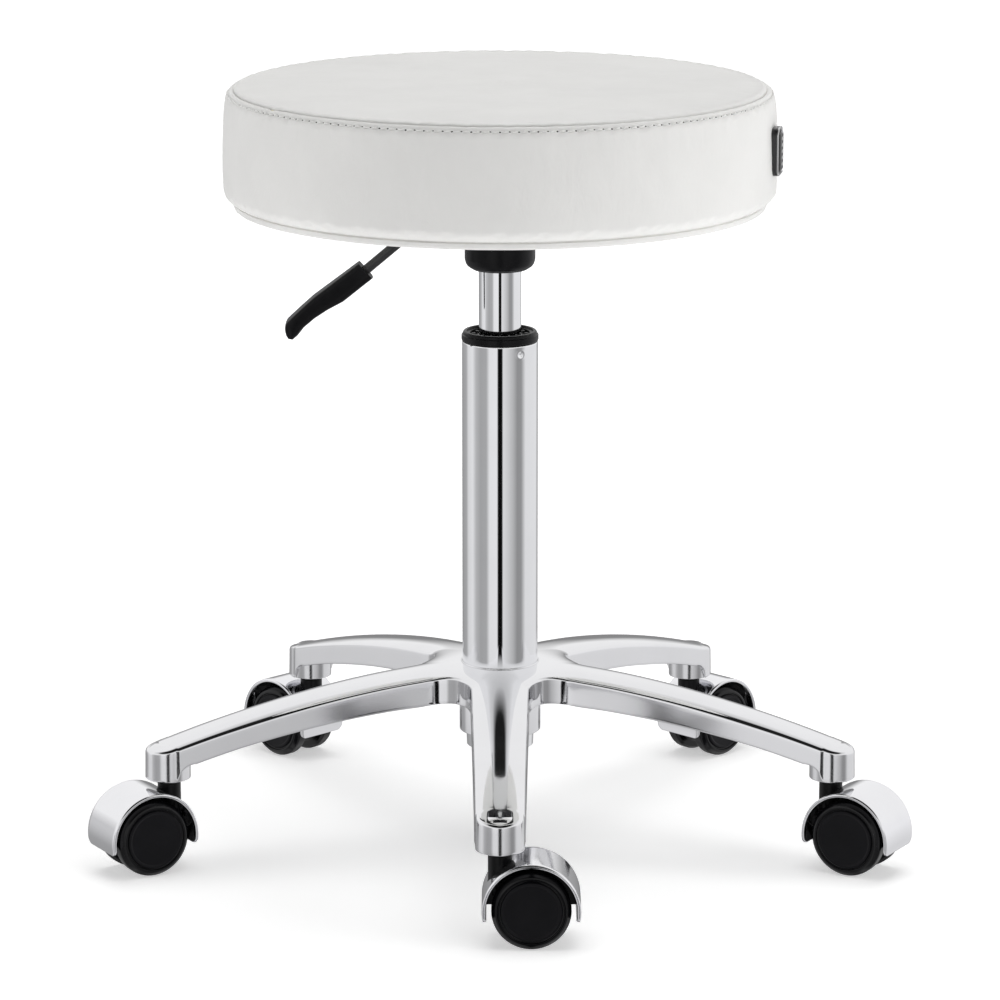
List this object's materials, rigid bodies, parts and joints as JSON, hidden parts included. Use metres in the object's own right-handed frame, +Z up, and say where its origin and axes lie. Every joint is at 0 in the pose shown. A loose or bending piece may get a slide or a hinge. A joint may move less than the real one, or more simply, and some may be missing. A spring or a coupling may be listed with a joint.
{
  "type": "height-adjustable pedicure stool",
  "caption": "Round padded stool on a gas lift with a height lever, a polished star base and hooded twin-wheel casters.",
  "frame": {"origin": "the column's axis at floor level", "axes": "+Z up along the gas lift, -X along the height lever, one arm of the base points along -Y"},
  "size_m": [0.541, 0.4823, 0.506],
  "materials": {
    "cast_aluminium": "polished die cast",
    "column_chrome": "bright chrome plate",
    "hood_chrome": "bright chrome plate",
    "black_plastic": "fine matte texture",
    "black_nylon": "satin",
    "wheel_nylon": "gloss rim",
    "bearing_steel": "ground",
    "zinc_steel": "zinc plated",
    "rod_steel": "ground and hard chromed",
    "brass": "turned",
    "black_rubber": "matte",
    "black_steel": "black powder coat",
    "plywood": "sanded birch plywood",
    "foam": "open-cell foam",
    "white_leather": "off-white artificial leather, fine grain",
    "dust_fabric": "light non-woven underside cloth",
    "badge_metal": "satin, plain, no lettering"
  },
  "bodies": {
    "base": {"star_base": "cast_aluminium", "column_tube": "column_chrome", "column_collar": "black_plastic", "guide_bush": "black_nylon", "bearing_lower_race": "bearing_steel", "bearing_balls": "bearing_steel", "retainer_washer": "zinc_steel", "caster_stems": "zinc_steel", "stem_rings": "bearing_steel"},
    "spindle": {"piston_rod": "rod_steel", "piston": "brass", "bearing_upper_race": "bearing_steel", "bump_cushion": "black_rubber", "rod_clip": "zinc_steel"},
    "seat": {"gas_cylinder": "column_chrome", "rod_seal": "black_rubber", "taper_socket": "black_steel", "socket_cap": "black_plastic", "seat_plate": "black_steel", "plate_bolts": "zinc_steel", "spring_washers": "bearing_steel", "t_nuts": "zinc_steel", "seat_board": "plywood", "foam_pad": "foam", "top_panel": "white_leather", "side_panel": "white_leather", "edge_wrap": "white_leather", "dust_cover": "dust_fabric", "badge": "badge_metal", "badge_rivets": "zinc_steel", "lever_pin": "bearing_steel"},
    "valve": {"valve_button": "zinc_steel"},
    "lever": {"lever_rod": "black_steel", "lever_handle": "black_plastic"},
    "caster_1": {"caster_1_body": "black_plastic", "caster_1_hood": "hood_chrome", "caster_1_axle": "zinc_steel"},
    "caster_1_left": {"caster_1_left_wheel": "wheel_nylon"},
    "caster_1_right": {"caster_1_right_wheel": "wheel_nylon"},
    "caster_2": {"caster_2_body": "black_plastic", "caster_2_hood": "hood_chrome", "caster_2_axle": "zinc_steel"},
    "caster_2_left": {"caster_2_left_wheel": "wheel_nylon"},
    "caster_2_right": {"caster_2_right_wheel": "wheel_nylon"},
    "caster_3": {"caster_3_body": "black_plastic", "caster_3_hood": "hood_chrome", "caster_3_axle": "zinc_steel"},
    "caster_3_left": {"caster_3_left_wheel": "wheel_nylon"},
    "caster_3_right": {"caster_3_right_wheel": "wheel_nylon"},
    "caster_4": {"caster_4_body": "black_plastic", "caster_4_hood": "hood_chrome", "caster_4_axle": "zinc_steel"},
    "caster_4_left": {"caster_4_left_wheel": "wheel_nylon"},
    "caster_4_right": {"caster_4_right_wheel": "wheel_nylon"},
    "caster_5": {"caster_5_body": "black_plastic", "caster_5_hood": "hood_chrome", "caster_5_axle": "zinc_steel"},
    "caster_5_left": {"caster_5_left_wheel": "wheel_nylon"},
    "caster_5_right": {"caster_5_right_wheel": "wheel_nylon"}
  },
  "joints": [
    {"name": "seat_swivel", "type": "hinge", "parent": "base", "child": "spindle", "pos_m": [0, 0, 0.071], "axis": [0, 0, 1], "continuous": true},
    {"name": "seat_lift", "type": "slide", "parent": "spindle", "child": "seat", "axis": [0, 0, 1], "range_m": [0, 0.14]},
    {"name": "lever_press", "type": "hinge", "parent": "seat", "child": "lever", "pos_m": [-0.027, 0, 0.41865], "axis": [0, 1, 0], "range_deg": [0, 5]},
    {"name": "valve_press", "type": "slide", "parent": "seat", "child": "valve", "axis": [0, 0, -1], "range_m": [0, 0.003], "stiffness_N_per_m": 400},
    {"name": "caster_1_swivel", "type": "hinge", "parent": "base", "child": "caster_1", "pos_m": [0, -0.228, 0.05], "axis": [0, 0, 1], "continuous": true},
    {"name": "caster_1_left_roll", "type": "hinge", "parent": "caster_1", "child": "caster_1_left", "pos_m": [0.0195, -0.228, 0.025], "axis": [0, 1, 0], "continuous": true},
    {"name": "caster_1_right_roll", "type": "hinge", "parent": "caster_1", "child": "caster_1_right", "pos_m": [0.0195, -0.228, 0.025], "axis": [0, 1, 0], "continuous": true},
    {"name": "caster_2_swivel", "type": "hinge", "parent": "base", "child": "caster_2", "pos_m": [0.21684, -0.07046, 0.05], "axis": [0, 0, 1], "continuous": true},
    {"name": "caster_2_left_roll", "type": "hinge", "parent": "caster_2", "child": "caster_2_left", "pos_m": [0.23364, -0.08035, 0.025], "axis": [0.5075, 0.8616, 0], "continuous": true},
    {"name": "caster_2_right_roll", "type": "hinge", "parent": "caster_2", "child": "caster_2_right", "pos_m": [0.23364, -0.08035, 0.025], "axis": [0.5075, 0.8616, 0], "continuous": true},
    {"name": "caster_3_swivel", "type": "hinge", "parent": "base", "child": "caster_3", "pos_m": [0.13401, 0.18446, 0.05], "axis": [0, 0, 1], "continuous": true},
    {"name": "caster_3_left_roll", "type": "hinge", "parent": "caster_3", "child": "caster_3_left", "pos_m": [0.1478, 0.19824, 0.025], "axis": [-0.7071, 0.7071, 0], "continuous": true},
    {"name": "caster_3_right_roll", "type": "hinge", "parent": "caster_3", "child": "caster_3_right", "pos_m": [0.1478, 0.19824, 0.025], "axis": [-0.7071, 0.7071, 0], "continuous": true},
    {"name": "caster_4_swivel", "type": "hinge", "parent": "base", "child": "caster_4", "pos_m": [-0.13401, 0.18446, 0.05], "axis": [0, 0, 1], "continuous": true},
    {"name": "caster_4_left_roll", "type": "hinge", "parent": "caster_4", "child": "caster_4_left", "pos_m": [-0.1478, 0.19824, 0.025], "axis": [-0.7071, -0.7071, 0], "continuous": true},
    {"name": "caster_4_right_roll", "type": "hinge", "parent": "caster_4", "child": "caster_4_right", "pos_m": [-0.1478, 0.19824, 0.025], "axis": [-0.7071, -0.7071, 0], "continuous": true},
    {"name": "caster_5_swivel", "type": "hinge", "parent": "base", "child": "caster_5", "pos_m": [-0.21684, -0.07046, 0.05], "axis": [0, 0, 1], "continuous": true},
    {"name": "caster_5_left_roll", "type": "hinge", "parent": "caster_5", "child": "caster_5_left", "pos_m": [-0.23364, -0.08035, 0.025], "axis": [0.5075, -0.8616, 0], "continuous": true},
    {"name": "caster_5_right_roll", "type": "hinge", "parent": "caster_5", "child": "caster_5_right", "pos_m": [-0.23364, -0.08035, 0.025], "axis": [0.5075, -0.8616, 0], "continuous": true}
  ],
  "couplings": [
    {"joint": "valve_press", "follows": "lever_press", "m_per_rad": 0.0305}
  ]
}
